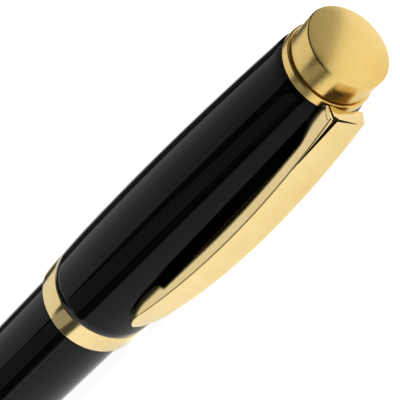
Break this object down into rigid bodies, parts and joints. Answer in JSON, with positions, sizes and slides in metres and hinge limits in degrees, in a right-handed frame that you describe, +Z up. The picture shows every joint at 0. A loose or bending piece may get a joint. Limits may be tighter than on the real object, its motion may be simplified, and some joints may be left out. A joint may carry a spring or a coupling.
{
  "type": "rollerball pen",
  "caption": "Capped rollerball pen in black lacquer with gold trim, a bowed pocket clip, a screw-in section and a spring-loaded refill.",
  "frame": {"origin": "on the table under the middle of the pen's length and width, with the pen lying down", "axes": "+X along the pen's axis towards the top of the cap, +Z up, the clip on the -Y side with one long edge on the table"},
  "size_m": [0.14, 0.0158, 0.0132],
  "materials": {
    "lacquer": "high-gloss black lacquer over brass",
    "gold_plate": "polished gold plating over brass",
    "turned_brass": "plain turned brass",
    "steel": "turned or drawn steel",
    "black_plastic": "moulded black plastic",
    "refill_plastic": "extruded white plastic",
    "seal_rubber": "moulded rubber",
    "ink_fibre": "bonded fibre soaked with blue-black ink"
  },
  "bodies": {
    "barrel": {"barrel_tube": "lacquer", "barrel_thread_bush": "turned_brass", "tail_ring": "gold_plate", "tail_finial": "gold_plate", "tail_stud": "steel", "tail_spring": "steel"},
    "refill": {"refill_tube": "refill_plastic", "refill_end_plug": "black_plastic", "ink_reservoir": "ink_fibre", "ink_feed": "ink_fibre", "tip_holder": "black_plastic", "refill_tip": "steel"},
    "section": {"grip_section": "lacquer", "section_ring": "gold_plate", "nose_cone": "gold_plate", "section_thread": "turned_brass", "thread_seal": "seal_rubber"},
    "cap": {"cap_shell": "lacquer", "cap_band": "gold_plate", "cap_mouth_bush": "turned_brass", "inner_cap": "black_plastic", "clip_ring": "gold_plate", "finial": "gold_plate", "finial_stud": "steel", "cap_washer": "steel", "cap_nut": "turned_brass"},
    "clip": {"clip": "gold_plate"},
    "ball": {"writing_ball": "steel"}
  },
  "joints": [
    {"name": "refill_slide", "type": "slide", "parent": "barrel", "child": "refill", "axis": [1, 0, 0], "range_m": [0, 0.0055], "deforming": ["tail_spring"]},
    {"name": "section_turn", "type": "hinge", "parent": "refill", "child": "section", "pos_m": [0.0125, 0.00129, 0.00662], "axis": [1, 0, 0], "range_deg": [0, 1980]},
    {"name": "cap_pull", "type": "slide", "parent": "section", "child": "cap", "axis": [1, 0, 0], "range_m": [0, 0.06]},
    {"name": "clip_flex", "type": "hinge", "parent": "cap", "child": "clip", "pos_m": [0.0665, -0.00314, 0.00391], "axis": [0, -0.5217, 0.8531], "range_deg": [0, 5], "stiffness_Nm_per_rad": 0.8},
    {"name": "ball_roll", "type": "hinge", "parent": "refill", "child": "ball", "pos_m": [0.05395, 0.00129, 0.00662], "axis": [0, 1, 0], "continuous": true}
  ],
  "couplings": [
    {"joint": "refill_slide", "follows": "section_turn", "m_per_rad": 0.00015915}
  ]
}
